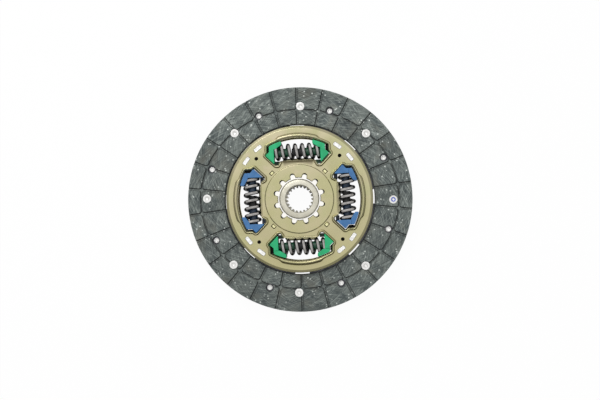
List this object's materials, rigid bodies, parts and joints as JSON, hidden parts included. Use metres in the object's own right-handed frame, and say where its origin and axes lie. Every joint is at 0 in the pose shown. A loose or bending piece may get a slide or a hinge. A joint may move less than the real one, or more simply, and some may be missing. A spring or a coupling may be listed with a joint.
{
  "type": "clutch disc",
  "caption": "Sprung friction clutch disc: grooved ring facings round a plated damper, with coil springs and plastic seats in windows and a splined hub.",
  "frame": {"origin": "on the disc's axis, in the plane of the hub's rear end, which the disc lies on", "axes": "+Z along the axis towards the cover plate's side; the facing's first rivet head is near +X"},
  "size_m": [0.224, 0.224, 0.0246],
  "materials": {
    "friction_lining": "matte, mottled, pressed fibre",
    "rivet_steel": "bright, pressed",
    "plated_sheet": "zinc plated, yellow passivated, satin",
    "hub_steel": "turned, satin",
    "white_bush": "moulded, slightly glossy",
    "plated_ring": "plated, pale yellow",
    "spring_steel": "dark, oiled",
    "cushion_steel": "dark, blued",
    "rubber": "matte",
    "green_seat": "moulded, satin",
    "blue_seat": "moulded, satin"
  },
  "bodies": {
    "disc": {"facing_front": "friction_lining", "facing_rear": "friction_lining", "facing_rivets_front": "rivet_steel", "facing_rivets_rear": "rivet_steel", "segment_rivets": "rivet_steel", "spacer_rivets": "rivet_steel", "disc_plate": "plated_sheet", "cover_plate": "plated_sheet", "bush_front": "white_bush", "bush_rear": "white_bush", "thrust_ring": "plated_ring", "cone_spring": "spring_steel", "cushion_segment_1": "cushion_steel", "cushion_segment_2": "cushion_steel", "cushion_segment_3": "cushion_steel", "cushion_segment_4": "cushion_steel", "cushion_segment_5": "cushion_steel", "cushion_segment_6": "cushion_steel", "cushion_segment_7": "cushion_steel", "cushion_segment_8": "cushion_steel"},
    "hub": {"hub": "hub_steel"},
    "spring_pack": {"damper_spring_1": "spring_steel", "damper_spring_2": "spring_steel", "damper_spring_3": "spring_steel", "damper_spring_4": "spring_steel", "spring_seat_1_right": "blue_seat", "spring_seat_1_left": "blue_seat", "spring_seat_2_right": "green_seat", "spring_seat_2_left": "green_seat", "spring_seat_3_right": "blue_seat", "spring_seat_3_left": "blue_seat", "spring_seat_4_right": "green_seat", "spring_seat_4_left": "green_seat", "stopper_1": "rubber", "stopper_2": "rubber", "stopper_3": "rubber", "stopper_4": "rubber"}
  },
  "joints": [
    {"name": "hub_turn", "type": "hinge", "parent": "disc", "child": "hub", "pos_m": [0, 0, 0.0156], "axis": [0, 0, 1], "range_deg": [-8, 8], "stiffness_Nm_per_rad": 1800},
    {"name": "spring_pack_turn", "type": "hinge", "parent": "disc", "child": "spring_pack", "pos_m": [0, 0, 0.0156], "axis": [0, 0, 1], "range_deg": [-4, 4], "deforming": ["damper_spring_1", "damper_spring_2", "damper_spring_3", "damper_spring_4", "spring_seat_1_right", "spring_seat_1_left", "spring_seat_2_right", "spring_seat_2_left", "spring_seat_3_right", "spring_seat_3_left", "spring_seat_4_right", "spring_seat_4_left", "stopper_1", "stopper_2", "stopper_3", "stopper_4"]}
  ],
  "couplings": [
    {"joint": "spring_pack_turn", "follows": "hub_turn", "ratio": 0.5}
  ]
}
